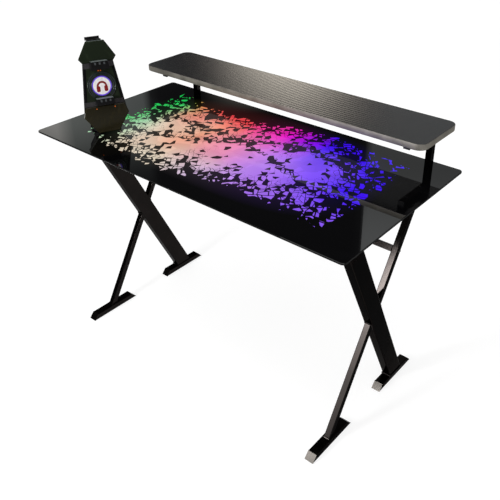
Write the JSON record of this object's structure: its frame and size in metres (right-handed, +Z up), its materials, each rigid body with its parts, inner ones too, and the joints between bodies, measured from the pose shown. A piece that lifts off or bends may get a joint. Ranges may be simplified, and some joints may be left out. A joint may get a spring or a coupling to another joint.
{
  "type": "gaming desk",
  "caption": "Glass-topped desk with a light pan under the glass, crossed tube legs on floor bars, a raised shelf along the back and a lift-off headset tower.",
  "frame": {"origin": "on the floor under the middle of the desk's outline seen from above", "axes": "+X to the sitter's right along the desk, +Y away from the sitter to the shelf, +Z up"},
  "size_m": [1.2, 0.639, 1.0377],
  "materials": {
    "glass_black": "gloss black back-printed tempered glass",
    "frame_black": "satin black powder coat",
    "bolt_black": "black oxide",
    "steel": "zinc plated",
    "black_plastic": "fine texture",
    "pale_plastic": "satin",
    "rubber": "matt",
    "pan_white": "white baked enamel",
    "diffuser": "opal acrylic",
    "led": "light strip",
    "board": "circuit board",
    "laminate": "woven-look dark laminate on board",
    "edge_band": "satin edge band",
    "tower_shell": "dark gloss",
    "tower_plate": "green-black gloss",
    "tower_band": "grey satin",
    "lens": "opal lens",
    "glow": "violet light ring",
    "amber": "amber lens"
  },
  "bodies": {
    "desk": {"glass_top": "glass_black", "glass_pads": "rubber", "light_pan": "pan_white", "pan_screws": "steel", "light_diffuser": "diffuser", "led_strips": "led", "control_case": "black_plastic", "control_cover": "black_plastic", "control_board": "board", "power_inlet": "black_plastic", "control_screws": "steel", "side_rail_left": "frame_black", "side_rail_right": "frame_black", "front_rail": "frame_black", "rear_rail": "frame_black", "stretcher": "frame_black", "threaded_blocks": "steel", "frame_bolts": "bolt_black", "wide_leg_left": "frame_black", "wide_leg_right": "frame_black", "thin_leg_lower_left": "frame_black", "thin_leg_upper_left": "frame_black", "thin_leg_lower_right": "frame_black", "thin_leg_upper_right": "frame_black", "foot_front_left": "frame_black", "foot_rear_left": "frame_black", "foot_front_right": "frame_black", "foot_rear_right": "frame_black", "foot_caps": "black_plastic", "foot_glides": "black_plastic", "tube_plugs": "black_plastic", "shelf_board": "laminate", "shelf_edge_band": "edge_band", "shelf_post_left": "frame_black", "shelf_arm_left": "frame_black", "shelf_post_right": "frame_black", "shelf_arm_right": "frame_black", "shelf_screws": "bolt_black", "post_bolts": "bolt_black"},
    "tower": {"tower_base": "tower_shell", "tower_feet": "rubber", "tower_column": "tower_shell", "tower_upper_band": "tower_band", "tower_panel": "tower_plate", "tower_lower_band": "tower_band", "tower_head": "tower_plate", "tower_chin": "tower_plate", "tower_hook": "tower_shell", "upper_cradle": "tower_shell", "lower_cradle": "tower_shell", "disc_lens": "lens", "disc_ring": "glow", "disc_surround": "tower_plate", "lamp_board": "board", "indicator_dots": "amber"},
    "button_power": {"button_power": "pale_plastic"},
    "button_mode": {"button_mode": "pale_plastic"},
    "button_speed": {"button_speed": "pale_plastic"}
  },
  "joints": [
    {"name": "tower_lift", "type": "slide", "parent": "desk", "child": "tower", "axis": [0, 0, 1], "range_m": [0, 0.15]},
    {"name": "button_power_press", "type": "slide", "parent": "desk", "child": "button_power", "axis": [0, 1, 0], "range_m": [0, 0.001], "stiffness_N_per_m": 400},
    {"name": "button_mode_press", "type": "slide", "parent": "desk", "child": "button_mode", "axis": [0, 1, 0], "range_m": [0, 0.001], "stiffness_N_per_m": 400},
    {"name": "button_speed_press", "type": "slide", "parent": "desk", "child": "button_speed", "axis": [0, 1, 0], "range_m": [0, 0.001], "stiffness_N_per_m": 400}
  ]
}
